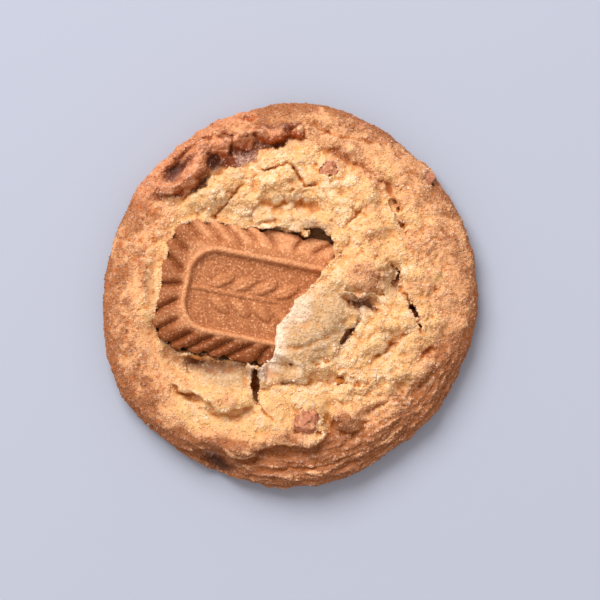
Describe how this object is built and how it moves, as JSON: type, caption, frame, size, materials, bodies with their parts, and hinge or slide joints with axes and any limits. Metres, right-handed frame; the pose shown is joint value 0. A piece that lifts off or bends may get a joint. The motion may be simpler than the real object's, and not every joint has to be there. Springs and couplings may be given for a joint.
{
  "type": "caramel biscuit cookie",
  "caption": "Round, thick baked cookie with a ribbed caramelised biscuit pressed into its top, half covered by a torn flap of dough.",
  "frame": {"origin": "middle of the flat underside", "axes": "+Z up through the crown; +X to the right and +Y up as the picture shows it from straight above"},
  "size_m": [0.092, 0.0942, 0.0173],
  "materials": {
    "dough": "golden baked crumb, browner at the rim, pale where torn",
    "biscuit": "fine dry grain of a caramelised biscuit",
    "chips": "rough broken biscuit"
  },
  "bodies": {
    "root": {"baked_dough": "dough", "caramel_biscuit": "biscuit", "biscuit_chip_front": "chips", "biscuit_chip_right": "chips", "biscuit_chip_top": "chips"}
  },
  "joints": []
}
